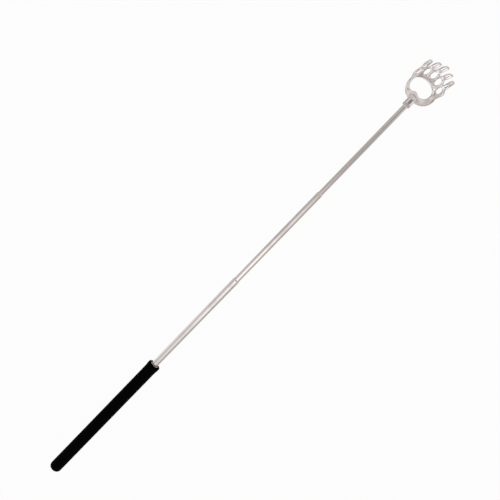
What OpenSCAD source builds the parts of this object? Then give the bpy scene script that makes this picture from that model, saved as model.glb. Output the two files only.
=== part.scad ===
// Telescopic back scratcher: a rubber grip, three sliding tubes and a cast paw with hooked claws.
// X runs along the shaft towards the paw and Z points out of the palm.
// The origin is on the shaft's axis, in the middle of the grip. The tubes are drawn out.

/* [Grip] */
// Length of the grip from its butt to its mouth
grip_length = 165.5; // [140:0.1:220]
// Diameter of the grip
grip_d = 12.9; // [11:0.1:20]
// Rounding of the butt
butt_round = 5.2; // [1:0.1:9]
// Rubber behind the handle tube's lower end
butt_wall = 6; // [2:0.1:15]
// Diameter of the lip at the mouth
lip_d = 13.7; // [12:0.1:22]
// Length over which the grip swells to its lip
lip_swell = 8; // [3:0.1:20]
// Thickness of the lip round the mouth's opening
lip_thick = 2.5; // [1:0.1:2.6]
// Depth of the handle tube's rim below the mouth
mouth_depth = 0.3; // [0.2:0.1:3]

/* [Tubes] */
// Outside diameter of the upper tube
upper_tube_d = 5; // [4:0.1:6]
// Wall of every tube
tube_wall = 0.3; // [0.2:0.01:0.5]
// Gap between one tube and the bore of the next
tube_gap = 0.2; // [0.15:0.01:0.35]
// Length of the lower tube that stands out of the mouth
lower_reach = 126; // [80:0.5:128]
// Length of the middle tube that stands out of the lower tube
middle_reach = 121.6; // [80:0.5:160]
// Length of the upper tube between the middle tube and the collar
upper_reach = 117.6; // [80:0.5:160]
// Length of the lower tube left out of the mouth when it is pushed in
lower_rest = 2; // [0:0.1:20]
// Length of the rolled lip at the mouth of a tube
roll_length = 1; // [0.5:0.1:3]
// Gap between a rolled lip and the tube that runs in it
roll_gap = 0.05; // [0.03:0.01:0.1]

/* [Friction shells] */
// Length of a friction shell
shell_length = 5.6; // [3:0.1:10]
// Depth of the groove that holds a pair of shells
groove_depth = 0.18; // [0.1:0.01:0.3]
// Length of the flange below the groove
flange_length = 1.2; // [0.6:0.1:3]
// Slit between the two shells of a pair, in degrees
shell_slit = 8; // [3:1:30]
// Running clearance of a shell, in its groove and in the bore round it
shell_clear = 0.03; // [0.01:0.01:0.06]
// Clearance at the ends of a shell and at the stops
stop_gap = 0.15; // [0.05:0.01:0.5]

/* [End plug] */
// Wall of the end plug
plug_wall = 1.2; // [0.6:0.1:2]
// Clearance of what is pressed or glued into a bore
seat_clear = 0.03; // [0.01:0.01:0.1]

/* [Collar] */
// Diameter of the collar
collar_d = 8; // [7:0.1:12]
// Length of the collar
collar_length = 9.3; // [8:0.1:20]
// Depth of the upper tube in the collar
tube_seat = 5; // [3:0.1:6]
// Rounding of the collar's lower edge
collar_round = 0.6; // [0.1:0.1:1]

/* [Palm] */
// Width of the palm opening
palm_w = 26.7; // [20:0.1:34]
// Height of the palm opening
palm_h = 16.6; // [12:0.1:26]
// Width of the rim below the palm opening
heel_rim = 8.2; // [6:0.1:10]
// Width of the rim beside the palm opening
side_rim = 6.9; // [4:0.1:9]
// Width of the rim above the palm opening
brow_rim = 3.6; // [2.5:0.1:6]
// Thickness of the paw's plate
plate_t = 2.1; // [1.5:0.1:3.5]
// Thickness of the webs that fill the corners between the rims
web_t = 1.6; // [1:0.1:2]
// Height of the bump at the bottom of the palm opening
heel_bump = 3.4; // [0:0.1:5]
// How far the heel reaches below the collar's top
heel_drop = 2.4; // [0.5:0.1:3]
// Width of the neck where it runs into the heel
neck_w = 13; // [8:0.1:20]
// How far the palm lies behind the shaft's axis
palm_set = 3; // [1:0.1:5]
// Tilt of the rim towards the palm below the opening, in degrees
heel_tilt = 28; // [0:1:45]
// Tilt of the rim towards the palm beside the opening, in degrees
side_tilt = 50; // [10:1:60]
// Tilt of the rim towards the palm above the opening, in degrees
brow_tilt = 8; // [0:1:20]

/* [Toes] */
// Widths of the toe openings, from the middle toe outwards
toe_w = [5.7, 5.3, 4.9]; // [3.5:0.1:7]
// Height of a toe opening
toe_h = 7.5; // [6:0.1:11]
// Width of the rim round a toe opening
toe_rim = 2.7; // [2:0.1:4]
// Width of the rim on the outer side of the outermost toes
edge_rim = 4.4; // [2.5:0.1:6]
// Metal between the palm opening and the middle toe opening
toe_web = 4.9; // [4:0.1:6]
// Radius of the arc on which the toes stand
toe_arc = 18.8; // [16:0.1:26]
// Angle between neighbouring toes on that arc
toe_pitch = 26; // [22:0.5:28]
// How far the middle toe lies behind the shaft's axis
toe_set = 1.5; // [1:0.1:5]
// How far the outermost toes rise above the middle one
toe_rise = 0.7; // [0:0.1:4]
// Turn of each toe towards the palm against its neighbour, in degrees
toe_tilt = 13; // [0:1:22]
// Lean of the toes towards the palm, in degrees
toe_curl = 12; // [0:1:25]

/* [Claws] */
// Reach of the claws above the middle of their toes, from the middle claw outwards
claw_reach = [13.8, 13.2, 15.3]; // [9:0.1:20]
// Height of the claw tips above the shaft's axis, from the middle claw outwards
claw_tip = [8.4, 8.2, 6]; // [4:0.1:14]
// How far the outermost claw tips splay out
claw_splay = 1.8; // [0:0.1:5]
// Turn of the outermost claws' roots round their toes, in degrees
claw_turn = 26; // [0:1:45]
// How far a claw bends behind the line from its root to its tip
claw_drop = 1.4; // [0:0.1:4]
// Widths of the claws at their roots, from the middle claw outwards
claw_root_w = [6.4, 6.2, 5.6]; // [3:0.1:8]
// Thicknesses of the claws at their knuckles, from the middle claw outwards
claw_root_t = [4.8, 4.6, 4.2]; // [3:0.1:6]
// Width of a claw at its tip
claw_tip_w = 4; // [1:0.1:6]
// Thickness of a claw at its tip
claw_tip_t = 2; // [0.8:0.1:4]

/* [Hidden] */
$fn = 64;

rubber_black = [0.03, 0.03, 0.03];
steel = [0.74, 0.72, 0.71];
chrome = [0.85, 0.84, 0.83];
brass = [0.78, 0.62, 0.32];
nylon = [0.85, 0.84, 0.8];

// Radii of the nested tubes, each one a wall and a gap larger than the tube inside it
upper_r = upper_tube_d / 2;
middle_r = upper_r + tube_gap + tube_wall;
lower_r = middle_r + tube_gap + tube_wall;
handle_r = lower_r + tube_gap + tube_wall;

// Stations along the shaft with the tubes drawn out
butt_x = -grip_length / 2;
mouth_x = grip_length / 2;
handle_bottom = butt_x + butt_wall;
handle_top = mouth_x - mouth_depth;
groove_length = shell_length + 2 * stop_gap;
tube_hold = roll_length + flange_length + groove_length;
lower_bottom = handle_top - tube_hold;
lower_top = mouth_x + lower_reach;
middle_bottom = lower_top - tube_hold;
middle_top = lower_top + middle_reach;
upper_bottom = middle_top - tube_hold;
collar_x = middle_top + upper_reach;
head_x = collar_x + collar_length;

// The plug stops the lower tube, or fills what is left of the handle tube
lower_travel = lower_reach - lower_rest;
plug_top = max(lower_bottom - lower_travel - stop_gap, handle_bottom + 2 * plug_wall);

// Turns a shape drawn along Z so that it lies along the shaft
module along_shaft(x) {
    translate([x, 0, 0]) rotate([0, 90, 0]) children();
}

// Half section of the grip, with its radius to the right and the shaft upwards
module grip_section() {
    grip_r = grip_d / 2;
    lip_r = lip_d / 2;
    corner = min(butt_round, grip_r - 0.1);
    bead = lip_thick / 2;
    bore = handle_r + seat_clear;
    difference() {
        union() {
            translate([0, corner]) square([grip_r, grip_length - corner - bead]);
            square([grip_r - corner, grip_length - bead]);
            intersection() {
                translate([grip_r - corner, corner]) circle(corner);
                square([grip_r, corner]);
            }
            polygon([
                [grip_r - bead, grip_length - lip_swell],
                [grip_r, grip_length - lip_swell],
                [lip_r, grip_length - 2 * bead],
                [lip_r, grip_length - bead],
                [grip_r - bead, grip_length - bead]
            ]);
            translate([lip_r - bead, grip_length - bead]) circle(bead);
        }
        translate([0, butt_wall]) square([bore, grip_length]);
        translate([0, grip_length - mouth_depth]) square([lip_r - lip_thick, grip_length]);
    }
}

module grip_sleeve() {
    color(rubber_black) along_shaft(butt_x) rotate_extrude() grip_section();
}

// The outermost tube: plain below, with its mouth rolled in round the lower tube
module handle_tube() {
    length = handle_top - handle_bottom;
    bore = handle_r - tube_wall;
    mouth = lower_r + roll_gap;
    color(steel) along_shaft(handle_bottom) rotate_extrude() polygon([
        [bore, 0],
        [handle_r, 0],
        [handle_r, length - roll_length],
        [mouth + tube_wall, length],
        [mouth, length],
        [mouth, length - roll_length],
        [bore, length - roll_length]
    ]);
}

// A cup pressed into the foot of the handle tube, on which the lower tube stops
module end_plug() {
    length = plug_top - handle_bottom;
    plug_r = handle_r - tube_wall - seat_clear;
    color(nylon) along_shaft(handle_bottom) difference() {
        cylinder(h = length, r = plug_r);
        translate([0, 0, -plug_wall]) cylinder(h = length, r = plug_r - plug_wall);
    }
}

// Outline of a sliding tube's foot: a flange, and a groove pressed into the wall
function foot_outside(r) = [
    [r, 0],
    [r, flange_length],
    [r - groove_depth, flange_length],
    [r - groove_depth, flange_length + groove_length],
    [r, flange_length + groove_length]
];
function foot_inside(r) = [
    [r - tube_wall, flange_length + groove_length + tube_wall],
    [r - tube_wall - groove_depth, flange_length + groove_length + tube_wall],
    [r - tube_wall - groove_depth, flange_length - tube_wall],
    [r - tube_wall, flange_length - tube_wall],
    [r - tube_wall, 0]
];

// A tube that slides in the one below it and holds the one above it in its rolled mouth
module sliding_tube(bottom, top, r, inner_r) {
    length = top - bottom;
    mouth = inner_r + roll_gap;
    color(steel) along_shaft(bottom) rotate_extrude() polygon(concat(
        foot_outside(r),
        [
            [r, length - roll_length],
            [mouth + tube_wall, length],
            [mouth, length],
            [mouth, length - roll_length],
            [r - tube_wall, length - roll_length]
        ],
        foot_inside(r)
    ));
}

module lower_tube() {
    sliding_tube(lower_bottom, lower_top, lower_r, middle_r);
}

module middle_tube() {
    sliding_tube(middle_bottom, middle_top, middle_r, upper_r);
}

// The innermost tube ends plain, in the collar
module upper_tube() {
    length = collar_x + tube_seat - upper_bottom;
    color(steel) along_shaft(upper_bottom) rotate_extrude() polygon(concat(
        foot_outside(upper_r),
        [[upper_r, length], [upper_r - tube_wall, length]],
        foot_inside(upper_r)
    ));
}

// Half of a sprung sleeve that sits in a tube's groove and rubs in the bore round it
module friction_shell(bottom, r, turn) {
    inside = r - groove_depth + shell_clear;
    outside = r + tube_gap - shell_clear;
    color(brass) along_shaft(bottom + flange_length + stop_gap)
        rotate([0, 0, turn + shell_slit / 2])
        rotate_extrude(angle = 180 - shell_slit)
        translate([inside, 0]) square([outside - inside, shell_length]);
}

module lower_shell_left() { friction_shell(lower_bottom, lower_r, 0); }
module lower_shell_right() { friction_shell(lower_bottom, lower_r, 180); }
module middle_shell_left() { friction_shell(middle_bottom, middle_r, 0); }
module middle_shell_right() { friction_shell(middle_bottom, middle_r, 180); }
module upper_shell_left() { friction_shell(upper_bottom, upper_r, 0); }
module upper_shell_right() { friction_shell(upper_bottom, upper_r, 180); }

// A turned collar that joins the upper tube to the paw's stem
module neck_collar() {
    collar_r = collar_d / 2;
    bore = upper_r + seat_clear;
    color(chrome) along_shaft(collar_x) rotate_extrude() difference() {
        union() {
            translate([0, collar_round]) square([collar_r, collar_length - collar_round]);
            square([collar_r - collar_round, collar_length]);
            translate([collar_r - collar_round, collar_round]) circle(collar_round);
        }
        translate([-collar_r, -1]) square([collar_r + bore, collar_length + 2]);
    }
}

// The paw is worked out above the collar's top, with x up, y across and z out of the palm
palm_x = heel_rim * cos(heel_tilt) - heel_drop + palm_h / 2;
toe_x = palm_x + palm_h / 2 + toe_web + toe_h / 2;
rim_steps = 60;
rim_sides = 12;
toe_steps = 32;
toe_sides = 8;
claw_steps = 12;
claw_sides = 14;
neck_steps = 8;
neck_sides = 24;
// Shares of a claw's length at which it is thickest and at which it hooks
claw_knuckle = 0.35;
hook_share = 0.8;
// How far across a rim a web is rooted, as a share of the rim's width from its opening
web_root = 0.8;
// How round the sections and the palm opening are: 1 is an ellipse, and less is squarer
rim_roundness = 0.6;
toe_roundness = 0.75;
claw_roundness = 0.95;
brow_roundness = 0.95;
heel_roundness = 0.8;

function unit(v) = v / norm(v);
// A power that keeps the sign, which makes a round curve fuller
function bow(v, p) = sign(v) * pow(abs(v), p);
function flatten(lists) = [for (l = lists) each l];

// One section of a swept bar: its middle, two directions, two half sizes and how round it is
function bar_section(mid, across, out, half_a, half_b, sides, roundness) = [
    for (i = [0 : sides - 1])
        let (a = 360 * i / sides)
        mid + half_a * bow(cos(a), roundness) * across + half_b * bow(sin(a), roundness) * out
];
function side_faces(rings, sides, closed) = [
    for (i = [0 : rings - (closed ? 1 : 2)], j = [0 : sides - 1])
        let (
            next = (i + 1) % rings,
            beside = (j + 1) % sides,
            a = i * sides + j,
            b = i * sides + beside,
            c = next * sides + beside,
            d = next * sides + j
        )
        each [[a, c, b], [a, d, c]]
];

module swept_ring(sections) {
    polyhedron(flatten(sections), side_faces(len(sections), len(sections[0]), true));
}

module swept_horn(sections) {
    sides = len(sections[0]);
    last = (len(sections) - 1) * sides;
    root_cap = [for (j = [0 : sides - 1]) j];
    tip_cap = [for (j = [sides - 1 : -1 : 0]) last + j];
    polyhedron(flatten(sections), concat(side_faces(len(sections), sides, false), [root_cap, tip_cap]));
}

// Edge of the palm opening: a curve that is fuller below than above
function palm_edge(t) =
    let (roundness = cos(t) >= 0 ? brow_roundness : heel_roundness)
    [palm_x + palm_h / 2 * bow(cos(t), roundness), palm_w / 2 * bow(sin(t), roundness)];
// Shares the brow's, the sides' and the heel's size of something round the opening
function round_palm(t, brow, side, heel) =
    let (beside = pow(abs(sin(t)), cos(t) >= 0 ? 8 : 2))
    side * beside + (cos(t) >= 0 ? brow : heel) * (1 - beside);
function palm_width(t) = round_palm(t, brow_rim, side_rim, heel_rim);
// Direction across the rim, away from the opening and up with its tilt
function palm_across(t) =
    let (
        along = unit(palm_edge(t + 0.5) - palm_edge(t - 0.5)),
        tilt = round_palm(t, brow_tilt, side_tilt, heel_tilt)
    )
    [along.y * cos(tilt), -along.x * cos(tilt), sin(tilt)];
// A point on the rim, at a share of its width from the opening
function palm_point(t, share) =
    [palm_edge(t).x, palm_edge(t).y, -palm_set] + share * palm_width(t) * palm_across(t);

module palm_rim() {
    bump_w = palm_w / 7;
    swept_ring([
        for (i = [0 : rim_steps - 1])
            let (
                t = -360 * (i + 0.5) / rim_steps,
                across = palm_across(t),
                along = unit(palm_point(t + 0.5, 0.5) - palm_point(t - 0.5, 0.5)),
                bump = cos(t) < 0 ? heel_bump / 2 * exp(-pow(palm_edge(t).y / bump_w, 2)) : 0
            )
            bar_section(palm_point(t, 0.5) - bump * across, across, unit(cross(across, along)),
                palm_width(t) / 2 + bump, plate_t / 2, rim_sides, rim_roundness)
    ]);
}

// Middle of a toe opening, counted from -2 to 2, and its directions
function toe_middle(i) = [
    toe_x - toe_arc * (1 - cos(i * toe_pitch)),
    toe_arc * sin(i * toe_pitch),
    toe_rise * pow(abs(i) / 2, 3) - toe_set
];
function toe_across(i) = [0, cos(i * toe_tilt), sin(i * toe_tilt)];
function toe_up(i) =
    [cos(toe_curl), -sin(toe_curl) * sin(i * toe_tilt), sin(toe_curl) * cos(i * toe_tilt)];
function toe_out(i) = cross(toe_up(i), toe_across(i));
// Outer side of the outermost toes, as a share from 0 to 1
function toe_edge(i, t) = abs(i) == 2 ? pow(max(0, sin(t) * sign(i)), 2) : 0;
function toe_width(i, t) = toe_rim + (edge_rim - toe_rim) * toe_edge(i, t);
function toe_radial(i, t) =
    let (
        flat = unit(cos(t) / toe_h * toe_up(i) + sin(t) / toe_w[abs(i)] * toe_across(i)),
        turn = (side_tilt - 2 * toe_tilt) * toe_edge(i, t)
    )
    cos(turn) * flat + sin(turn) * toe_out(i);
// A point on the rim of a toe, at a share of its width from the opening
function toe_point(i, t, share) =
    toe_middle(i) + toe_h / 2 * cos(t) * toe_up(i) + toe_w[abs(i)] / 2 * sin(t) * toe_across(i)
    + share * toe_width(i, t) * toe_radial(i, t);

module toe_ring(i) {
    swept_ring([
        for (k = [0 : toe_steps - 1])
            let (
                t = -360 * k / toe_steps,
                radial = toe_radial(i, t),
                along = unit(toe_point(i, t + 0.5, 0.5) - toe_point(i, t - 0.5, 0.5))
            )
            bar_section(toe_point(i, t, 0.5), radial, unit(cross(radial, along)),
                toe_width(i, t) / 2, plate_t / 2, toe_sides, toe_roundness)
    ]);
}

// Middle line of a claw: from the top of its toe to its tip, in one bend
function claw_root(i) = toe_point(i, claw_turn * bow(i / 2, 2), 0.5);
function claw_end(i) =
    [toe_middle(i).x + claw_reach[abs(i)], toe_middle(i).y + claw_splay * bow(i / 2, 2), claw_tip[abs(i)]];
function claw_bend(i) =
    let (span = claw_end(i) - claw_root(i))
    claw_root(i) + hook_share * span - claw_drop * unit([-span.z, 0, span.x]);
function claw_point(i, q) =
    pow(1 - q, 2) * claw_root(i) + 2 * q * (1 - q) * claw_bend(i) + q * q * claw_end(i);

// A claw thickens out of its toe's rim up to its knuckle, and thins and narrows towards its tip
function claw_thickness(i, q) =
    let (full = claw_root_t[abs(i)])
    q < claw_knuckle
        ? web_t + (full - web_t) * (1 - cos(180 * q / claw_knuckle)) / 2
        : full + (claw_tip_t - full) * (q - claw_knuckle) / (1 - claw_knuckle);
function claw_width(i, q) = claw_root_w[abs(i)] + (claw_tip_w - claw_root_w[abs(i)]) * q;

module claw(i) {
    swept_horn([
        for (k = [0 : claw_steps])
            let (
                q = k / claw_steps,
                along = unit(claw_point(i, q + 0.01) - claw_point(i, q - 0.01)),
                lean = toe_across(i * (1 - q)),
                out = unit(cross(along, lean))
            )
            bar_section(claw_point(i, q), cross(out, along), out,
                claw_width(i, q) / 2, claw_thickness(i, q) / 2, claw_sides, claw_roundness)
    ]);
}

// A ball of a web's thickness, for the blends between rims
module web_ball(at) {
    translate(at) sphere(d = web_t, $fn = 14);
}

// The shoulder where a claw grows out of its toe
module knuckle(i) {
    shoulder = 30;
    middle = claw_knuckle / 2;
    hull() {
        for (t = [-shoulder, shoulder]) web_ball(toe_point(i, t, web_root));
        translate(claw_point(i, middle)) sphere(d = claw_thickness(i, middle), $fn = 20);
    }
}

// Metal in the corner between two toes and the palm's rim
module toe_corner(i) {
    between = toe_middle(i) + toe_middle(i + 1);
    beneath = atan2(between.y / 2, between.x / 2 - palm_x);
    turns = [100, 150];
    hull() {
        for (t = turns) {
            web_ball(toe_point(i, t, web_root));
            web_ball(toe_point(i + 1, -t, web_root));
        }
        web_ball(palm_point(beneath, 0.5));
    }
}

// Metal in the corner between an outermost toe and the palm's side
module side_corner(i) {
    toe_turns = [95, 140];
    palm_turns = [72, 86];
    hull() {
        for (t = toe_turns) web_ball(toe_point(i, t * sign(i), web_root));
        for (t = palm_turns) web_ball(palm_point(t * sign(i), web_root));
    }
}

// The neck stands up out of the collar's room, and flattens and widens into the heel
module paw_neck() {
    heel = palm_point(180, 0);
    swept_horn([
        for (k = [-1 : neck_steps])
            let (
                q = max(0, k) / neck_steps,
                eased = (1 - cos(180 * q)) / 2,
                x = k < 0 ? -web_t : stop_gap + (heel.x - stop_gap) * q
            )
            bar_section([x, 0, heel.z * eased], [0, 1, 0], [0, 0, 1],
                collar_d / 2 + (neck_w - collar_d) / 2 * eased,
                collar_d / 2 + (web_t - collar_d) / 2 * eased, neck_sides, 1)
    ]);
}

// Room for the collar, which the heel goes round
module collar_room() {
    rotate([0, -90, 0]) cylinder(h = collar_length, r = collar_d / 2 + seat_clear, $fn = 48);
}

// The stem sits in the collar above the end of the upper tube
module paw_stem() {
    stem = collar_length - tube_seat - stop_gap;
    translate([-stem, 0, 0]) rotate([0, 90, 0])
        cylinder(h = stem + web_t / 2, r = upper_r - seat_clear, $fn = 40);
}

module paw_head() {
    color(chrome) translate([head_x, 0, 0]) {
        paw_stem();
        difference() {
            union() {
                palm_rim();
                paw_neck();
                for (i = [-2 : 2]) {
                    toe_ring(i);
                    claw(i);
                    knuckle(i);
                }
                for (i = [-2 : 1]) toe_corner(i);
                for (i = [-2, 2]) side_corner(i);
            }
            collar_room();
        }
    }
}

grip_sleeve();
handle_tube();
end_plug();
lower_tube();
lower_shell_left();
lower_shell_right();
middle_tube();
middle_shell_left();
middle_shell_right();
upper_tube();
upper_shell_left();
upper_shell_right();
neck_collar();
paw_head();
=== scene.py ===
"""Looks of a pull-out back scratcher: a black rubber grip, three polished tubes and a chromed cast paw.

X runs along the shaft towards the paw and Z points out of the palm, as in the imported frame. Sizes are in
millimetres, and are turned into metres where a mesh is made. Places on the floor are in metres.
"""

import math

import bmesh
import bpy
import numpy as np
from mathutils import Matrix, Vector


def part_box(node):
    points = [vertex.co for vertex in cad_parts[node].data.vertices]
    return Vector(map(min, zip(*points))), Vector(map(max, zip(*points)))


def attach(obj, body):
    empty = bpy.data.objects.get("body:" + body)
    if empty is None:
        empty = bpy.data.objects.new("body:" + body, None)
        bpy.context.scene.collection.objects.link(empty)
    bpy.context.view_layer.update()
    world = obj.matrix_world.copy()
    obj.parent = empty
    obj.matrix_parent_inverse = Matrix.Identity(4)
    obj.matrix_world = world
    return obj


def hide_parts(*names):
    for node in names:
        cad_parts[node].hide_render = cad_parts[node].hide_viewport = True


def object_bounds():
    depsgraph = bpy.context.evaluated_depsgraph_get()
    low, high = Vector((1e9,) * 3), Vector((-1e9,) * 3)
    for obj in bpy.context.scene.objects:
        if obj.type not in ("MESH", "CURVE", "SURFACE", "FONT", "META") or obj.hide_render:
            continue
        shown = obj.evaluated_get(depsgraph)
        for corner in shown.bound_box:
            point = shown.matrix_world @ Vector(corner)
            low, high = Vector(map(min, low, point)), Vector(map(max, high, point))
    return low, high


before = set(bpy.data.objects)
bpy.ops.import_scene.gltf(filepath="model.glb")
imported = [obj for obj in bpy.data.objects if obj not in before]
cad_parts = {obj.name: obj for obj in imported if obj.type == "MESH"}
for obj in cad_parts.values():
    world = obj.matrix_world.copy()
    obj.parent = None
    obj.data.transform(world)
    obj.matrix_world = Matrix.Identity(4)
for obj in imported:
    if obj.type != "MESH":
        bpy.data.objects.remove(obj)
cad_low, cad_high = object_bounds()

MM = 0.001

# Turned pieces: their sides, the angle in degrees past which an edge stays sharp, and how near two points are
# when they become one
GRIP_SIDES = 128
METAL_SIDES = 96
SHARP_ANGLE = 40
WELD = 0.001

# Grip
GRIP_R = 6.45
GRIP_BORE_R = 4.03
BUTT_ROUND = 5.2
BUTT_WALL = 6.0
LIP_R = 6.85
LIP_BEAD = 1.25
LIP_SWELL = 8.0
SWELL_STEPS = 12
GRIP_ROUND_STEPS = 20

# Tubes, from the outermost to the innermost
TUBE_WALL = 0.3
HANDLE_R = 4.0
LOWER_R = 3.5
MIDDLE_R = 3.0
UPPER_R = 2.5

# Tube mouths: the lip round the tube inside, the taper's angle in degrees, and the bend where it starts
ROLL_LENGTH = 1.0
ROLL_GAP = 0.05
ROLL_STEPS = 12
TAPER_ANGLE = 9.5
TAPER_BEND = 0.3
TAPER_BEND_STEPS = 6
FOLD_ROUND = 0.1
FOLD_STEPS = 6

# Tube feet, with the groove for the friction shells
FLANGE_LENGTH = 1.2
GROOVE_LENGTH = 5.9
GROOVE_DEPTH = 0.18

# Collar
COLLAR_R = 4.0
COLLAR_BORE_R = 2.53
COLLAR_ROUND = 0.6
COLLAR_ROUND_STEPS = 10
COLLAR_TOP_ROUND = 0.2
COLLAR_TOP_STEPS = 6

# Paw: the size of its skin's mesh, the polish that keeps its bulk, and the softening below the claws' tips,
# which stay crisp over a share of their length
PAW_VOXEL = 0.26
POLISH_ROUNDS = 24
POLISH_PASSES = 2
POLISH_SHARES = (0.5, -0.46)
SOFTEN_PASSES = 24
SOFTEN_SHARE = 0.5
TIP_LENGTH = 8
TIP_KEPT = 0.5

# Paw: how its hollows are found and its inner corners filled, and the thickness of its plating
HOLLOW_PASSES = 60
FILLET_DEPTH = 0.15
FILLET_SPREAD = 12
FILLET_GAIN = 2
FILLET_PASSES = 80
FILLET_SHARE = 0.5
PLATING = 0.02

# Metals: the colours when clean and under smudges, the roughness of both, and how far the marks change it
STEEL_CLEAN = (0.9, 0.86, 0.845)
STEEL_SMUDGED = (0.84, 0.795, 0.78)
STEEL_ROUGHNESS = (0.12, 0.2)
CHROME_CLEAN = (0.92, 0.885, 0.87)
CHROME_SMUDGED = (0.85, 0.81, 0.795)
CHROME_ROUGHNESS = (0.07, 0.13)
BRASS_CLEAN = (0.72, 0.53, 0.24)
BRASS_SMUDGED = (0.6, 0.42, 0.17)
BRASS_ROUGHNESS = (0.25, 0.36)
MARK_ROUGHNESS = 0.03

# Where the noise of the smudges and the cells of the specks start to show, and where they are full
SMUDGE_EDGE = (0.42, 0.7)
SPECK_EDGE = (0.3, 0.05)

# The casting's hollows, darkened with painted shade past a depth, and its grain
CHROME_HOLLOW_SHADE = (0.35, 0.325, 0.315)
HOLLOW_SHADE_DEPTH = (0.0, 0.14)
CAST_GRAIN = 2.0
CAST_FINENESS = 0.2
CAST_MARKS = 0.1

# Foam rubber and nylon: the grain's size, the colours low and high in it, and the bump's strength and depth
FOAM_GRAIN = 0.35
FOAM_LOW = (0.0004, 0.0004, 0.0005)
FOAM_HIGH = (0.0014, 0.0014, 0.0015)
FOAM_SPECK = (0.003, 0.003, 0.003)
FOAM_SPECK_SIZE = 0.9
FOAM_SPECK_SHARE = 0.5
FOAM_SMUDGE_SIZE = 22.0
FOAM_ROUGHNESS = (0.72, 0.58)
FOAM_SHINE = 0.02
FOAM_BUMP = (0.6, 0.08)
NYLON_GRAIN = 0.5
NYLON_LOW = (0.76, 0.74, 0.69)
NYLON_HIGH = (0.85, 0.84, 0.8)
NYLON_ROUGHNESS = (0.42, 0.55)
NYLON_BUMP = (0.4, 0.03)

# The photograph's camera, which looks down on the palm from the side of +Y
CAMERA_TILT = math.radians(29)
CAMERA_ROLL = math.radians(44.13)
CAMERA_DISTANCE = 1037
CAMERA_OVER = Vector((479.3, 0, 0))
CAMERA_AIM_BACK = 239
CAMERA_AIM_SIDE = 11.3
CAMERA_LENS = 76.5
CAMERA_SENSOR = 36

# The floor: its half side, its own grey, and the share of white that it shows to the camera
FLOOR_HALF = 4.0
FLOOR_GREY = (0.7, 0.7, 0.7, 1)
FLOOR_ROUGHNESS = 0.9
FLOOR_WHITE = 0.96

# The share of white that the floor shows in the metal, a painted glow seen only in reflections that stands in
# for light
# falling on the floor: under the shaft, and past the edges beside it, under the grip and under the paw. An
# edge goes from where a share starts to show to where it is full.
FLOOR_MIRRORED = 0.05
FLOOR_ASIDE_GLOW = 0.18
FLOOR_ASIDE_EDGE = (0.03, -0.06)
FLOOR_GRIPWARD_GLOW = 0.65
FLOOR_GRIPWARD_EDGE = (0.28, 0.06)
FLOOR_PAWWARD_GLOW = 0.5
FLOOR_PAWWARD_EDGE = (0.42, 0.46)

# The studio's tones by direction. An edge along the shaft is in the direction's x, and an edge round it,
# named left or right, is in degrees from the camera towards its right.
ROOF_LEFT_EDGE = (-50, -15)
ROOF_RIGHT_EDGE = (75, 35)
ROOF_DULL = (0.41, 0.375, 0.365)
ROOF_BRIGHT = (1.15, 1.13, 1.12)
ROOF_BRIGHT_EDGE = (-0.1, -0.23)
ROOF_PALE = (0.72, 0.69, 0.68)
ROOF_PALE_EDGE = (-0.25, -0.36)
LENS_DARK = (0.21, 0.193, 0.188)
LENS_NEAR_EDGE = (-0.03, 0.008)
LENS_FAR_EDGE = (0.16, 0.08)
LENS_LEFT_EDGE = (-35, 0)
WALL_PALE = (0.82, 0.78, 0.77)
WALL_DULL = (0.43, 0.395, 0.385)
WALL_DULL_EDGE = (-0.01, -0.07)
GRIP_END_BRIGHT = (1.15, 1.15, 1.15)
GRIP_END_EDGE = (-0.52, -0.68)
BEAM_DARK = (0.2, 0.185, 0.18)
BEAM_EDGE = (-0.62, -0.76)
BEAM_LEFT_EDGE = (-5, 15)
BEAM_RIGHT_EDGE = (65, 45)
PAW_END_DULL = (0.6, 0.565, 0.555)
PAW_END_PALE = (0.78, 0.75, 0.74)
PAW_END_RIGHT_EDGE = (65.89, 94.54)
PAW_END_EDGE = (0.05, 0.3)
PAW_END_WALL = (0.85, 0.83, 0.82)
PAW_END_WALL_EDGE = (0.72, 0.95)
WHITE = (1, 1, 1)


def add(tree, kind, values=None, **settings):
    """Adds a node. Each value is what an input is set to, or the socket that feeds it."""
    made = tree.nodes.new(kind)
    for name, setting in settings.items():
        setattr(made, name, setting)
    for name, value in (values or {}).items():
        if isinstance(value, bpy.types.NodeSocket):
            tree.links.new(value, made.inputs[name])
        else:
            made.inputs[name].default_value = value
    return made


def calc(tree, operation, first, second=0.0, clamp=False):
    """Adds a Math node and gives its result."""
    values = {0: first, 1: second}
    return add(tree, "ShaderNodeMath", values, operation=operation, use_clamp=clamp).outputs[0]


def dot(tree, first, second):
    """Adds a dot product of two vectors and gives its result."""
    values = {0: first, 1: second}
    return add(tree, "ShaderNodeVectorMath", values, operation="DOT_PRODUCT").outputs["Value"]


def soft_step(tree, value, edge):
    """Goes smoothly from 0 at the edge's start to 1 at its end."""
    start, end = edge
    values = {"Value": value, "From Min": start, "From Max": end}
    return add(tree, "ShaderNodeMapRange", values, interpolation_type="SMOOTHSTEP").outputs["Result"]


def soft_turn(tree, angle, edge):
    """A soft step of an angle, with its edge in degrees."""
    return soft_step(tree, angle, [math.radians(degrees) for degrees in edge])


def between(tree, share, low, high):
    """Goes from low to high as the share goes from 0 to 1."""
    values = {"Value": share, "To Min": low, "To Max": high}
    return add(tree, "ShaderNodeMapRange", values).outputs["Result"]


def blend_colours(tree, share, first, second):
    """Mixes two colours."""
    mix = add(tree, "ShaderNodeMix", {0: share}, data_type="RGBA")
    for socket, colour in ((mix.inputs[6], first), (mix.inputs[7], second)):
        if isinstance(colour, bpy.types.NodeSocket):
            tree.links.new(colour, socket)
        else:
            socket.default_value = (*colour, 1)
    return mix.outputs[2]


def noise(tree, vector, scale, detail, roughness):
    """Adds a noise texture and gives its value."""
    values = {"Vector": vector, "Scale": scale, "Detail": detail, "Roughness": roughness}
    return add(tree, "ShaderNodeTexNoise", values).outputs[0]


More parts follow.
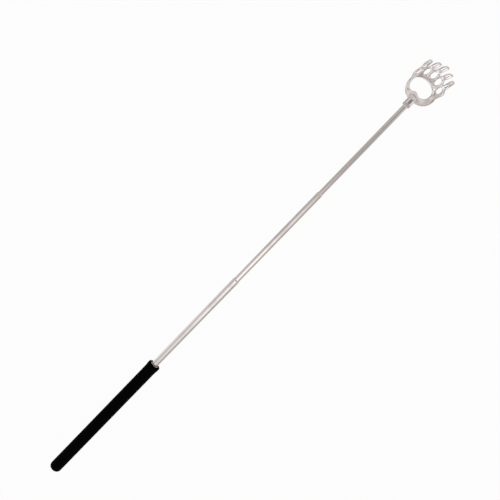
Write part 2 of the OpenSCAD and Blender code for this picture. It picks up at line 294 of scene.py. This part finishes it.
def new_group(name, inputs, outputs):
    """Starts a shader node group. Gives its tree, its inputs' sockets and its output node."""
    tree = bpy.data.node_groups.new(name, "ShaderNodeTree")
    for label, kind, value in inputs:
        socket = tree.interface.new_socket(label, in_out="INPUT", socket_type=kind)
        if value is not None:
            socket.default_value = value
    for label, kind in outputs:
        tree.interface.new_socket(label, in_out="OUTPUT", socket_type=kind)
    return tree, tree.nodes.new("NodeGroupInput").outputs, tree.nodes.new("NodeGroupOutput")


def use_group(tree, group, values):
    """Places a node group in a material and gives its outputs."""
    return add(tree, "ShaderNodeGroup", values, node_tree=group).outputs


def polish_group():
    """Fine marks of drawing and polishing along the shaft, and the faint smudges of handling."""
    tree, given, out = new_group(
        "Polish",
        [
            ("Vector", "NodeSocketVector", None),
            ("Mark Length", "NodeSocketFloat", 20.0),
            ("Mark Width", "NodeSocketFloat", 0.2),
            ("Smudge Size", "NodeSocketFloat", 15.0),
        ],
        [("Marks", "NodeSocketFloat"), ("Smudges", "NodeSocketFloat")],
    )
    per_length = calc(tree, "DIVIDE", 1 / MM, given["Mark Length"])
    per_width = calc(tree, "DIVIDE", 1 / MM, given["Mark Width"])
    stretch = add(tree, "ShaderNodeCombineXYZ", {"X": per_length, "Y": per_width, "Z": per_width})
    stretched = {0: given["Vector"], 1: stretch.outputs[0]}
    marks_at = add(tree, "ShaderNodeVectorMath", stretched, operation="MULTIPLY").outputs[0]
    marks = noise(tree, marks_at, scale=1.0, detail=4.0, roughness=0.6)
    per_smudge = calc(tree, "DIVIDE", 1 / MM, given["Smudge Size"])
    smudges = noise(tree, given["Vector"], per_smudge, detail=3.0, roughness=0.55)
    tree.links.new(marks, out.inputs["Marks"])
    tree.links.new(soft_step(tree, smudges, SMUDGE_EDGE), out.inputs["Smudges"])
    return tree


def grain_group():
    """Moulded or cast grain: a fine unevenness, and specks in it."""
    tree, given, out = new_group(
        "Grain",
        [
            ("Vector", "NodeSocketVector", None),
            ("Grain Size", "NodeSocketFloat", 0.3),
            ("Fineness", "NodeSocketFloat", 0.6),
            ("Speck Size", "NodeSocketFloat", 0.8),
        ],
        [("Height", "NodeSocketFloat"), ("Specks", "NodeSocketFloat")],
    )
    per_grain = calc(tree, "DIVIDE", 1 / MM, given["Grain Size"])
    per_speck = calc(tree, "DIVIDE", 1 / MM, given["Speck Size"])
    height = noise(tree, given["Vector"], per_grain, detail=3.0, roughness=given["Fineness"])
    cells = add(tree, "ShaderNodeTexVoronoi", {"Vector": given["Vector"], "Scale": per_speck})
    tree.links.new(height, out.inputs["Height"])
    tree.links.new(soft_step(tree, cells.outputs["Distance"], SPECK_EDGE), out.inputs["Specks"])
    return tree


def start_material(name):
    """Starts a material. Gives it, its tree, its shader and the object's own coordinates."""
    made = bpy.data.materials.new(name)
    made.use_nodes = True
    tree = made.node_tree
    shader = tree.nodes["Principled BSDF"]
    place = tree.nodes.new("ShaderNodeTexCoord").outputs["Object"]
    return made, tree, shader, place


def set_bump(tree, shader, height, strength, depth):
    """Feeds the shader's normal from a height, as deep as the depth in millimetres."""
    values = {"Height": height, "Strength": strength, "Distance": depth * MM}
    bump = add(tree, "ShaderNodeBump", values)
    tree.links.new(bump.outputs["Normal"], shader.inputs["Normal"])


def metal(name, clean, smudged, roughness, mark_length, mark_width, depth, is_cast=False):
    """A polished metal: bright where it is clean, a little duller and rougher under smudges."""
    made, tree, shader, place = start_material(name)
    marks = {"Vector": place, "Mark Length": mark_length, "Mark Width": mark_width}
    polish = use_group(tree, POLISH, marks)
    shader.inputs["Metallic"].default_value = 1
    colour = blend_colours(tree, polish["Smudges"], clean, smudged)
    smudge_gloss = between(tree, polish["Smudges"], *roughness)
    mark_gloss = between(tree, polish["Marks"], -MARK_ROUGHNESS, MARK_ROUGHNESS)
    gloss = calc(tree, "ADD", smudge_gloss, mark_gloss, clamp=True)
    tree.links.new(gloss, shader.inputs["Roughness"])
    height = polish["Marks"]
    if is_cast:
        # Painted shade: the casting's hollows are darkened past a depth, as if shade fell in them
        hollow = add(tree, "ShaderNodeAttribute", attribute_name="hollow").outputs["Fac"]
        hollow_shade = soft_step(tree, hollow, HOLLOW_SHADE_DEPTH)
        colour = blend_colours(tree, hollow_shade, colour, CHROME_HOLLOW_SHADE)
        casting = {"Vector": place, "Grain Size": CAST_GRAIN, "Fineness": CAST_FINENESS}
        grain = use_group(tree, GRAIN, casting)
        height = calc(tree, "ADD", grain["Height"], calc(tree, "MULTIPLY", polish["Marks"], CAST_MARKS))
    tree.links.new(colour, shader.inputs["Base Color"])
    set_bump(tree, shader, height, 1.0, depth)
    return made


def rubber(name):
    """Matt black foam rubber with a fine closed grain."""
    made, tree, shader, place = start_material(name)
    foam = {"Vector": place, "Grain Size": FOAM_GRAIN, "Speck Size": FOAM_SPECK_SIZE}
    grain = use_group(tree, GRAIN, foam)
    polish = use_group(tree, POLISH, {"Vector": place, "Smudge Size": FOAM_SMUDGE_SIZE})
    specks = calc(tree, "MULTIPLY", grain["Specks"], FOAM_SPECK_SHARE)
    shade = blend_colours(tree, grain["Height"], FOAM_LOW, FOAM_HIGH)
    shade = blend_colours(tree, specks, shade, FOAM_SPECK)
    tree.links.new(shade, shader.inputs["Base Color"])
    tree.links.new(between(tree, polish["Smudges"], *FOAM_ROUGHNESS), shader.inputs["Roughness"])
    shader.inputs["Specular IOR Level"].default_value = FOAM_SHINE
    set_bump(tree, shader, grain["Height"], *FOAM_BUMP)
    return made


def nylon(name):
    """Moulded natural nylon."""
    made, tree, shader, place = start_material(name)
    grain = use_group(tree, GRAIN, {"Vector": place, "Grain Size": NYLON_GRAIN})
    shade = blend_colours(tree, grain["Height"], NYLON_LOW, NYLON_HIGH)
    tree.links.new(shade, shader.inputs["Base Color"])
    tree.links.new(between(tree, grain["Height"], *NYLON_ROUGHNESS), shader.inputs["Roughness"])
    set_bump(tree, shader, grain["Height"], *NYLON_BUMP)
    return made


def turned_tree():
    """Geometry Nodes tree that turns a half section about the shaft.

    In the section, X is the radius less the guide's, and Y is minus the place along the shaft.
    """
    tree = bpy.data.node_groups.new("Turned piece", "GeometryNodeTree")
    tree.is_modifier = True
    face = tree.interface
    for label, kind in (
        ("Section", "NodeSocketGeometry"),
        ("Sides", "NodeSocketInt"),
        ("Guide Radius", "NodeSocketFloat"),
        ("Crease Angle", "NodeSocketFloat"),
        ("Finish", "NodeSocketMaterial"),
    ):
        face.new_socket(label, in_out="INPUT", socket_type=kind)
    face.new_socket("Geometry", in_out="OUTPUT", socket_type="NodeSocketGeometry")
    given = tree.nodes.new("NodeGroupInput").outputs
    out = tree.nodes.new("NodeGroupOutput")

    section = add(tree, "GeometryNodeMeshToCurve", {"Mesh": given["Section"]})
    round_guide = {"Resolution": given["Sides"], "Radius": given["Guide Radius"]}
    guide = add(tree, "GeometryNodeCurvePrimitiveCircle", round_guide)
    upright = add(tree, "GeometryNodeSetCurveNormal", {"Curve": guide.outputs[0]}, mode="Z_UP")
    swept = {"Curve": upright.outputs[0], "Profile Curve": section.outputs[0]}
    turned = add(tree, "GeometryNodeCurveToMesh", swept)
    welded = {"Geometry": turned.outputs[0], "Distance": WELD * MM}
    closed = add(tree, "GeometryNodeMergeByDistance", welded)
    on_shaft = {"Geometry": closed.outputs[0], "Rotation": (0, math.pi / 2, 0)}
    laid = add(tree, "GeometryNodeTransform", on_shaft)

    angle = tree.nodes.new("GeometryNodeInputMeshEdgeAngle")
    sharp = add(
        tree,
        "FunctionNodeCompare",
        {"A": angle.outputs["Unsigned Angle"], "B": given["Crease Angle"]},
        data_type="FLOAT",
        operation="GREATER_THAN",
    )
    all_faces = {"Geometry": laid.outputs[0], "Shade Smooth": True}
    smooth = add(tree, "GeometryNodeSetShadeSmooth", all_faces, domain="FACE")
    sharp_edges = {"Geometry": smooth.outputs[0], "Selection": sharp.outputs[0], "Shade Smooth": False}
    creased = add(tree, "GeometryNodeSetShadeSmooth", sharp_edges, domain="EDGE")
    real = add(tree, "GeometryNodeRealizeInstances", {"Geometry": creased.outputs[0]})
    dressed = {"Geometry": real.outputs[0], "Material": given["Finish"]}
    finished = add(tree, "GeometryNodeSetMaterial", dressed)
    tree.links.new(finished.outputs[0], out.inputs[0])
    return tree


def set_inputs(modifier, values):
    """Sets a Geometry Nodes modifier's inputs by their sockets' identifiers."""
    for item in modifier.node_group.interface.items_tree:
        if item.in_out == "INPUT" and item.name in values:
            modifier[item.identifier] = values[item.name]


def to_plain_mesh(piece):
    """Turns what the piece's modifiers make into its own mesh, and removes them."""
    graph = bpy.context.evaluated_depsgraph_get()
    mesh = bpy.data.meshes.new_from_object(piece.evaluated_get(graph))
    piece.modifiers.clear()
    old = piece.data
    piece.data = mesh
    bpy.data.meshes.remove(old)
    mesh.name = piece.name


def new_piece(name, mesh):
    """Puts a mesh in the scene as an object at the origin."""
    piece = bpy.data.objects.new(name, mesh)
    bpy.context.scene.collection.objects.link(piece)
    return piece


def turn_piece(name, section, finish, ring=False, sides=METAL_SIDES):
    """Turns a half section of (x, radius) points in millimetres. A ring's section is closed."""
    guide_r = 2 * max(r for x, r in section) * MM
    mesh = bpy.data.meshes.new(name)
    points = [(r * MM - guide_r, -x * MM, 0) for x, r in reversed(section)]
    count = len(points)
    edges = [(i, (i + 1) % count) for i in range(count if ring else count - 1)]
    mesh.from_pydata(points, edges, [])
    piece = new_piece(name, mesh)
    turning = piece.modifiers.new("Turned", "NODES")
    turning.node_group = TURNED
    set_inputs(
        turning,
        {
            "Sides": sides,
            "Guide Radius": guide_r,
            "Crease Angle": math.radians(SHARP_ANGLE),
            "Finish": finish,
        },
    )
    to_plain_mesh(piece)
    return piece


def arc(x, r, round_r, start, end, steps):
    """Points on a circle round (x, r), from one angle to another in degrees. 0 points along the shaft."""
    angles = [math.radians(start + (end - start) * i / steps) for i in range(steps + 1)]
    return [(x + round_r * math.cos(a), r + round_r * math.sin(a)) for a in angles]


def place_piece(piece, node, body):
    """Lets a piece stand for a node of the frame and move with its body."""
    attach(piece, body)
    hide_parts(node)


def ends_of(node):
    """The lowest and the highest x of a node, in millimetres."""
    low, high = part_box(node)
    return low[0] / MM, high[0] / MM


def make_grip(finish):
    """The rubber grip: a round butt, and a swell before the beaded lip at its mouth."""
    butt, mouth = ends_of("grip_sleeve")
    swell_start = mouth - LIP_SWELL
    swell_end = mouth - 2 * LIP_BEAD
    swell = []
    for i in range(SWELL_STEPS + 1):
        share = i / SWELL_STEPS
        rise = (1 - math.cos(math.pi * share)) / 2
        swell.append((swell_start + share * (swell_end - swell_start), GRIP_R + rise * (LIP_R - GRIP_R)))
    ledge = mouth - LIP_BEAD
    socket_end = butt + BUTT_WALL
    section = (
        [(butt, 0)]
        + arc(butt + BUTT_ROUND, GRIP_R - BUTT_ROUND, BUTT_ROUND, 180, 90, GRIP_ROUND_STEPS)
        + swell
        + arc(ledge, LIP_R - LIP_BEAD, LIP_BEAD, 90, -90, GRIP_ROUND_STEPS)
        + [(ledge, GRIP_BORE_R), (socket_end, GRIP_BORE_R), (socket_end, 0)]
    )
    piece = turn_piece("rubber_grip", section, finish, sides=GRIP_SIDES)
    place_piece(piece, "grip_sleeve", "handle")


def lip_inside(top, r, mouth_r):
    """The inside of a tube's mouth, from the lip back to the tube's bore."""
    return [(top - ROLL_LENGTH, mouth_r), (top - ROLL_LENGTH, r - TUBE_WALL)]


def tapered_mouth(top, r, inner_r):
    """A tube's mouth, drawn in to a round lip at the tube inside it: from the outside to the bore."""
    mouth_r = inner_r + ROLL_GAP
    round_r = TUBE_WALL / 2
    lip = arc(top - round_r, mouth_r + round_r, round_r, 90 - TAPER_ANGLE, -90, ROLL_STEPS)
    slope = math.tan(math.radians(TAPER_ANGLE))
    lip_x, lip_r = lip[0]
    bend_end = lip_x - (r - lip_r) / slope + TAPER_BEND / 2
    bend_start = bend_end - TAPER_BEND
    bend = [(bend_start - TAPER_BEND / 2, r)]
    for i in range(TAPER_BEND_STEPS + 1):
        share = i / TAPER_BEND_STEPS
        bend.append((bend_start + share * TAPER_BEND, r - slope * TAPER_BEND / 2 * share**2))
    return bend + lip + lip_inside(top, r, mouth_r)


def folded_mouth(top, r, inner_r):
    """The handle tube's mouth, folded in flat round the lower tube: from the outside to the bore."""
    mouth_r = inner_r + ROLL_GAP
    fold_x = top - FOLD_ROUND
    return (
        arc(fold_x, r - FOLD_ROUND, FOLD_ROUND, 90, 0, FOLD_STEPS)
        + arc(fold_x, mouth_r + FOLD_ROUND, FOLD_ROUND, 0, -90, FOLD_STEPS)
        + lip_inside(top, r, mouth_r)
    )


def grooved_foot(bottom, r):
    """A tube's foot with the groove for its friction shells: the inside first, then the outside."""
    flange = bottom + FLANGE_LENGTH
    groove_end = flange + GROOVE_LENGTH
    bore = r - TUBE_WALL
    return [
        (groove_end + TUBE_WALL, bore),
        (groove_end + TUBE_WALL, bore - GROOVE_DEPTH),
        (flange - TUBE_WALL, bore - GROOVE_DEPTH),
        (flange - TUBE_WALL, bore),
        (bottom, bore),
        (bottom, r),
        (flange, r),
        (flange, r - GROOVE_DEPTH),
        (groove_end, r - GROOVE_DEPTH),
        (groove_end, r),
    ]


def make_tubes(finish):
    """The handle's fixed tube, the two tubes that slide and hold another, and the plain upper tube."""
    bottom, top = ends_of("handle_tube")
    foot = [(bottom, HANDLE_R - TUBE_WALL), (bottom, HANDLE_R)]
    section = foot + folded_mouth(top, HANDLE_R, LOWER_R)
    piece = turn_piece("handle_liner", section, finish, ring=True)
    place_piece(piece, "handle_tube", "handle")
    for name, r, inner_r in (("lower", LOWER_R, MIDDLE_R), ("middle", MIDDLE_R, UPPER_R)):
        bottom, top = ends_of(name + "_tube")
        section = grooved_foot(bottom, r) + tapered_mouth(top, r, inner_r)
        piece = turn_piece(name + "_drawn_tube", section, finish, ring=True)
        place_piece(piece, name + "_tube", name)
    bottom, top = ends_of("upper_tube")
    section = grooved_foot(bottom, UPPER_R) + [(top, UPPER_R), (top, UPPER_R - TUBE_WALL)]
    piece = turn_piece("upper_drawn_tube", section, finish, ring=True)
    place_piece(piece, "upper_tube", "upper")


def make_collar(finish):
    """The collar under the paw, rounder at its foot than at its top."""
    bottom, top = ends_of("neck_collar")
    foot = arc(bottom + COLLAR_ROUND, COLLAR_R - COLLAR_ROUND, COLLAR_ROUND, 180, 90, COLLAR_ROUND_STEPS)
    brim = arc(top - COLLAR_TOP_ROUND, COLLAR_R - COLLAR_TOP_ROUND, COLLAR_TOP_ROUND, 90, 0, COLLAR_TOP_STEPS)
    section = [(top, COLLAR_BORE_R), (bottom, COLLAR_BORE_R)] + foot + brim
    piece = turn_piece("collar", section, finish, ring=True)
    place_piece(piece, "neck_collar", "upper")


def evened(points, ends, share, passes):
    """Moves each point a share of the way to the middle of its neighbours, as often as the passes say."""
    count = len(points)
    start, end = ends.T
    beside = np.bincount(ends.ravel(), minlength=count)
    points = points.copy()
    for _ in range(passes):
        for axis in range(points.shape[1]):
            value = points[:, axis]
            total = np.bincount(start, value[end], count) + np.bincount(end, value[start], count)
            points[:, axis] += share * (total / beside - value)
    return points


def read_points(mesh, field):
    """Reads a field of three numbers from each of a mesh's points."""
    values = np.empty(3 * len(mesh.vertices))
    mesh.vertices.foreach_get(field, values)
    return values.reshape(-1, 3)


def set_points(mesh, points):
    """Moves a mesh's points, and gives their new normals."""
    mesh.vertices.foreach_set("co", points.ravel())
    mesh.update()
    return read_points(mesh, "normal")


def hollow_depth(mesh, points, ends):
    """How far each point lies in a hollow, in millimetres, and less than nothing on an edge."""
    normals = set_points(mesh, points)
    return ((evened(points, ends, 1, HOLLOW_PASSES) - points) * normals).sum(axis=1) / MM


def finish_casting(mesh):
    """Polishes the casting's facets away, fills its inner corners and plates it. Keeps the hollows' depth."""
    ends = np.empty(2 * len(mesh.edges), dtype=int)
    mesh.edges.foreach_get("vertices", ends)
    ends = ends.reshape(-1, 2)
    points = read_points(mesh, "co")
    for _ in range(POLISH_ROUNDS):
        for share in POLISH_SHARES:
            points = evened(points, ends, share, POLISH_PASSES)
    below_tips = (points[:, 0].max() - points[:, 0]) / MM
    softened = np.clip(below_tips / TIP_LENGTH - TIP_KEPT, 0, 1)
    points = evened(points, ends, SOFTEN_SHARE * softened, SOFTEN_PASSES)
    corners = np.clip(hollow_depth(mesh, points, ends) / FILLET_DEPTH, 0, 1)
    corners = evened(corners[:, None], ends, 1, FILLET_SPREAD)[:, 0]
    points = evened(points, ends, FILLET_SHARE * np.clip(FILLET_GAIN * corners, 0, 1), FILLET_PASSES)
    points += PLATING * MM * set_points(mesh, points)
    depth = hollow_depth(mesh, points, ends)
    mesh.attributes.new("hollow", "FLOAT", "POINT").data.foreach_set("value", depth)


def make_paw(finish):
    """The cast paw: the frame's own solid with its seams run together and polished smooth."""
    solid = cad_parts["paw_head"]
    shape = bmesh.new()
    shape.from_mesh(solid.data)
    bmesh.ops.remove_doubles(shape, verts=shape.verts, dist=WELD * MM)
    mesh = bpy.data.meshes.new("cast_paw")
    shape.to_mesh(mesh)
    shape.free()
    piece = new_piece("cast_paw", mesh)
    skin = piece.modifiers.new("Skin", "REMESH")
    skin.mode = "VOXEL"
    skin.voxel_size = PAW_VOXEL * MM
    skin.use_smooth_shade = True
    to_plain_mesh(piece)
    finish_casting(piece.data)
    piece.data.materials.clear()
    piece.data.materials.append(finish)
    place_piece(piece, "paw_head", "upper")


def dress_node(node, finish):
    """Gives a node of the frame that is shown as it is a better material."""
    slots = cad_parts[node].data.materials
    slots.clear()
    slots.append(finish)


def make_floor():
    """A pale floor just under the paw's turning circle. It shows white and keeps the object's soft shadow."""
    low = -math.hypot(cad_high.y, cad_high.z)
    mesh = bpy.data.meshes.new("floor")
    corners = [(-1, -1), (1, -1), (1, 1), (-1, 1)]
    mesh.from_pydata([(x * FLOOR_HALF, y * FLOOR_HALF, low) for x, y in corners], [], [(0, 1, 2, 3)])
    floor = new_piece("floor", mesh)
    made, tree, shader, place = start_material("pale floor")
    shader.inputs["Base Color"].default_value = FLOOR_GREY
    shader.inputs["Roughness"].default_value = FLOOR_ROUGHNESS
    shader.inputs["Specular IOR Level"].default_value = 0
    path = tree.nodes.new("ShaderNodeLightPath").outputs
    mirrored = calc(tree, "MAXIMUM", path["Is Glossy Ray"], path["Is Transmission Ray"])
    where = add(tree, "ShaderNodeSeparateXYZ", {0: place}).outputs
    # Painted glow: in reflections only, the floor shows more white beside the shaft, under the grip and under
    # the paw, as if light fell there
    aside = soft_step(tree, where["Y"], FLOOR_ASIDE_EDGE)
    gripward = soft_step(tree, where["X"], FLOOR_GRIPWARD_EDGE)
    pawward = calc(tree, "MULTIPLY", aside, soft_step(tree, where["X"], FLOOR_PAWWARD_EDGE))
    share = between(tree, aside, FLOOR_MIRRORED, FLOOR_ASIDE_GLOW)
    share = calc(tree, "MAXIMUM", share, between(tree, gripward, FLOOR_MIRRORED, FLOOR_GRIPWARD_GLOW))
    share = calc(tree, "MAXIMUM", share, between(tree, pawward, FLOOR_MIRRORED, FLOOR_PAWWARD_GLOW))
    to_camera = calc(tree, "MULTIPLY", path["Is Camera Ray"], FLOOR_WHITE)
    seen = calc(tree, "MAXIMUM", to_camera, calc(tree, "MULTIPLY", mirrored, share))
    white = add(tree, "ShaderNodeEmission", {"Color": (*WHITE, 1), "Strength": 1})
    layers = {0: seen, 1: shader.outputs[0], 2: white.outputs[0]}
    mixed = add(tree, "ShaderNodeMixShader", layers)
    tree.links.new(mixed.outputs[0], tree.nodes["Material Output"].inputs["Surface"])
    mesh.materials.append(made)


def camera_axes():
    """The direction from the object to the camera, and the camera's right when it isn't rolled."""
    toward = Vector((0, math.sin(CAMERA_TILT), math.cos(CAMERA_TILT)))
    right = Vector((0, -math.cos(CAMERA_TILT), math.sin(CAMERA_TILT)))
    return toward, right


def make_camera():
    """The photograph's camera, rolled so that the shaft runs up to the right."""
    toward, right = camera_axes()
    eye = CAMERA_OVER + CAMERA_DISTANCE * toward
    target = CAMERA_OVER - Vector((CAMERA_AIM_BACK, 0, 0)) - CAMERA_AIM_SIDE * right
    forward = (target - eye).normalized()
    along = Vector((1, 0, 0)).cross(toward).cross(forward).normalized()
    if along.x < 0:
        along = -along
    side = forward.cross(along)
    image_right = math.sin(CAMERA_ROLL) * along + math.cos(CAMERA_ROLL) * side
    image_up = math.cos(CAMERA_ROLL) * along - math.sin(CAMERA_ROLL) * side
    data = bpy.data.cameras.new("camera")
    data.lens = CAMERA_LENS
    data.sensor_width = CAMERA_SENSOR
    camera = bpy.data.objects.new("camera", data)
    bpy.context.scene.collection.objects.link(camera)
    turn = Matrix((image_right, image_up, -forward)).transposed()
    camera.matrix_world = Matrix.Translation(eye * MM) @ turn.to_4x4()
    bpy.context.scene.camera = camera


def make_studio():
    """Soft surroundings: a roof behind the camera, walls beside it, and a tone for each end of the shaft.

    The roof is bright over the grip, dull over the paw and dark about the lens. The end past the grip is
    bright, with one dark beam, and the end past the paw is paler on the right. The camera itself sees white.
    """
    world = bpy.data.worlds.new("studio")
    bpy.context.scene.world = world
    world.use_nodes = True
    tree = world.node_tree
    toward, right = camera_axes()
    way = tree.nodes.new("ShaderNodeTexCoord").outputs["Generated"]
    angle = calc(tree, "ARCTAN2", dot(tree, way, right), dot(tree, way, toward))
    along = add(tree, "ShaderNodeSeparateXYZ", {0: way}).outputs["X"]

    roof = blend_colours(tree, soft_step(tree, along, ROOF_BRIGHT_EDGE), ROOF_DULL, ROOF_BRIGHT)
    roof = blend_colours(tree, soft_step(tree, along, ROOF_PALE_EDGE), roof, ROOF_PALE)
    lens = calc(
        tree, "MULTIPLY", soft_step(tree, along, LENS_NEAR_EDGE), soft_step(tree, along, LENS_FAR_EDGE)
    )
    lens = calc(tree, "MULTIPLY", lens, soft_turn(tree, angle, LENS_LEFT_EDGE))
    roof = blend_colours(tree, lens, roof, LENS_DARK)
    walls = blend_colours(tree, soft_step(tree, along, WALL_DULL_EDGE), WALL_PALE, WALL_DULL)
    overhead = calc(
        tree, "MULTIPLY", soft_turn(tree, angle, ROOF_LEFT_EDGE), soft_turn(tree, angle, ROOF_RIGHT_EDGE)
    )
    shade = blend_colours(tree, overhead, walls, roof)

    shade = blend_colours(tree, soft_step(tree, along, GRIP_END_EDGE), shade, GRIP_END_BRIGHT)
    beam = calc(
        tree, "MULTIPLY", soft_turn(tree, angle, BEAM_LEFT_EDGE), soft_turn(tree, angle, BEAM_RIGHT_EDGE)
    )
    beam = calc(tree, "MULTIPLY", beam, soft_step(tree, along, BEAM_EDGE))
    shade = blend_colours(tree, beam, shade, BEAM_DARK)

    paw_end = blend_colours(tree, soft_turn(tree, angle, PAW_END_RIGHT_EDGE), PAW_END_DULL, PAW_END_PALE)
    shade = blend_colours(tree, soft_step(tree, along, PAW_END_EDGE), shade, paw_end)
    shade = blend_colours(tree, soft_step(tree, along, PAW_END_WALL_EDGE), shade, PAW_END_WALL)

    path = tree.nodes.new("ShaderNodeLightPath").outputs
    seen = blend_colours(tree, path["Is Camera Ray"], shade, WHITE)
    tree.links.new(seen, tree.nodes["Background"].inputs["Color"])


bpy.context.scene.view_settings.view_transform = "Standard"

POLISH = polish_group()
GRAIN = grain_group()
TURNED = turned_tree()

grip_rubber = rubber("matt black foam rubber")
tube_steel = metal(
    "polished tube",
    STEEL_CLEAN,
    STEEL_SMUDGED,
    STEEL_ROUGHNESS,
    mark_length=30.0,
    mark_width=0.25,
    depth=0.004,
)
cast_chrome = metal(
    "chromed casting",
    CHROME_CLEAN,
    CHROME_SMUDGED,
    CHROME_ROUGHNESS,
    mark_length=4.0,
    mark_width=0.3,
    depth=0.06,
    is_cast=True,
)
shell_brass = metal(
    "drawn brass",
    BRASS_CLEAN,
    BRASS_SMUDGED,
    BRASS_ROUGHNESS,
    mark_length=6.0,
    mark_width=0.15,
    depth=0.006,
)
plug_nylon = nylon("moulded nylon")

make_grip(grip_rubber)
make_tubes(tube_steel)
make_collar(cast_chrome)
make_paw(cast_chrome)
for tube in ("lower", "middle", "upper"):
    for half in ("left", "right"):
        dress_node(f"{tube}_shell_{half}", shell_brass)
dress_node("end_plug", plug_nylon)

make_floor()
make_studio()
make_camera()
